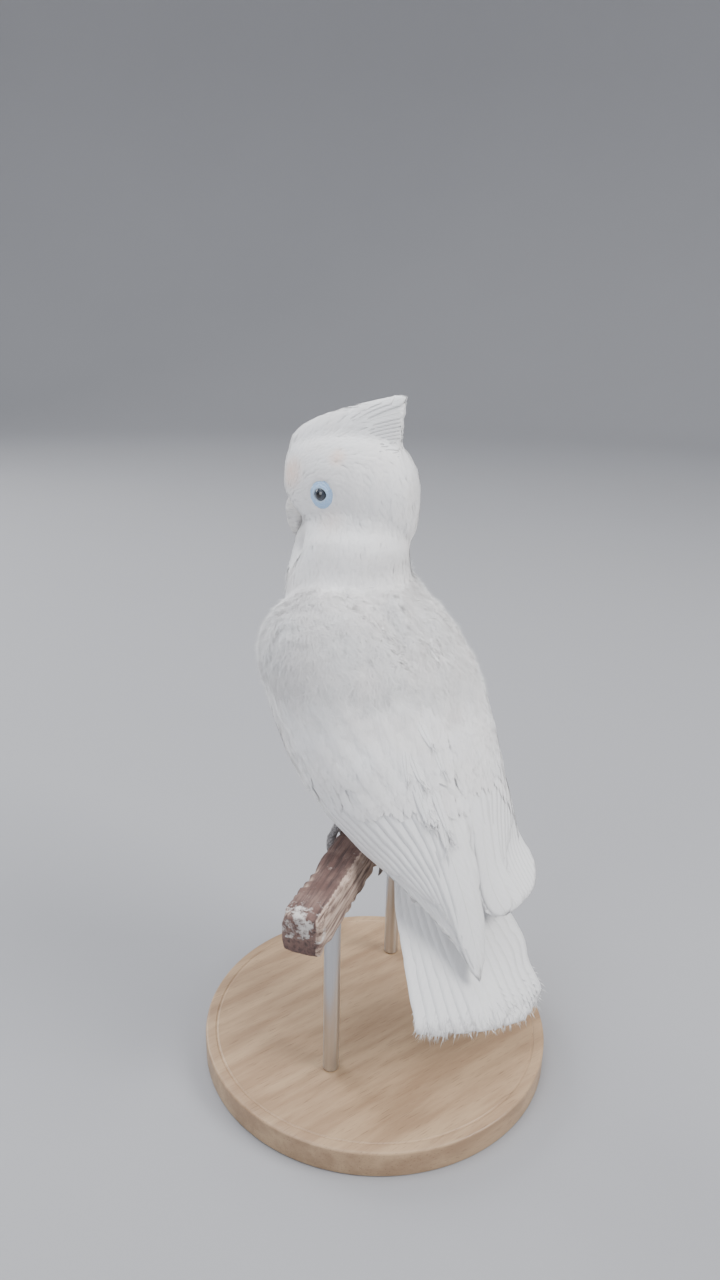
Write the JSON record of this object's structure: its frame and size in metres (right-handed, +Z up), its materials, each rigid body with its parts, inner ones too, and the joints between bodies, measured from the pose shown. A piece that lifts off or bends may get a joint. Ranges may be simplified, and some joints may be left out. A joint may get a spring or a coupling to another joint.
{
  "type": "perched white cockatoo display model",
  "caption": "Life-size still model of a small white cockatoo, head turned and crest half raised, gripping a short timber perch held up by rods on a flat round base.",
  "frame": {"origin": "the middle of the base's underside, on the floor", "axes": "+Z up, the bird's body faces -Y, and its left side is +X"},
  "size_m": [0.18, 0.18, 0.3382],
  "materials": {
    "plumage": "soft white feathers, matt",
    "bill_horn": "pale horn, satin",
    "claw_horn": "grey horn, satin",
    "eye_ring_skin": "bare pale blue skin, matt",
    "eye": "wet, glossy",
    "foot_skin": "grey scaly skin",
    "timber": "worn and gnawed, unpainted",
    "stand_board": "black paint, satin",
    "stand_steel": "brushed"
  },
  "bodies": {
    "root": {"bill_lower": "bill_horn", "bill_upper": "bill_horn", "claw_left_inner_back": "claw_horn", "claw_left_inner_front": "claw_horn", "claw_left_outer_back": "claw_horn", "claw_left_outer_front": "claw_horn", "claw_right_inner_back": "claw_horn", "claw_right_inner_front": "claw_horn", "claw_right_outer_back": "claw_horn", "claw_right_outer_front": "claw_horn", "crest": "plumage", "eye_left": "eye", "eye_right": "eye", "eye_ring_left": "eye_ring_skin", "eye_ring_right": "eye_ring_skin", "head": "plumage", "neck": "plumage", "perch": "timber", "shank_left": "foot_skin", "shank_right": "foot_skin", "stand_base": "stand_board", "stand_rod_1": "stand_steel", "stand_rod_2": "stand_steel", "tail": "plumage", "thigh_left": "plumage", "thigh_right": "plumage", "toe_left_inner_back": "foot_skin", "toe_left_inner_front": "foot_skin", "toe_left_outer_back": "foot_skin", "toe_left_outer_front": "foot_skin", "toe_right_inner_back": "foot_skin", "toe_right_inner_front": "foot_skin", "toe_right_outer_back": "foot_skin", "toe_right_outer_front": "foot_skin", "trunk": "plumage", "wing_left": "plumage", "wing_right": "plumage"}
  },
  "joints": []
}
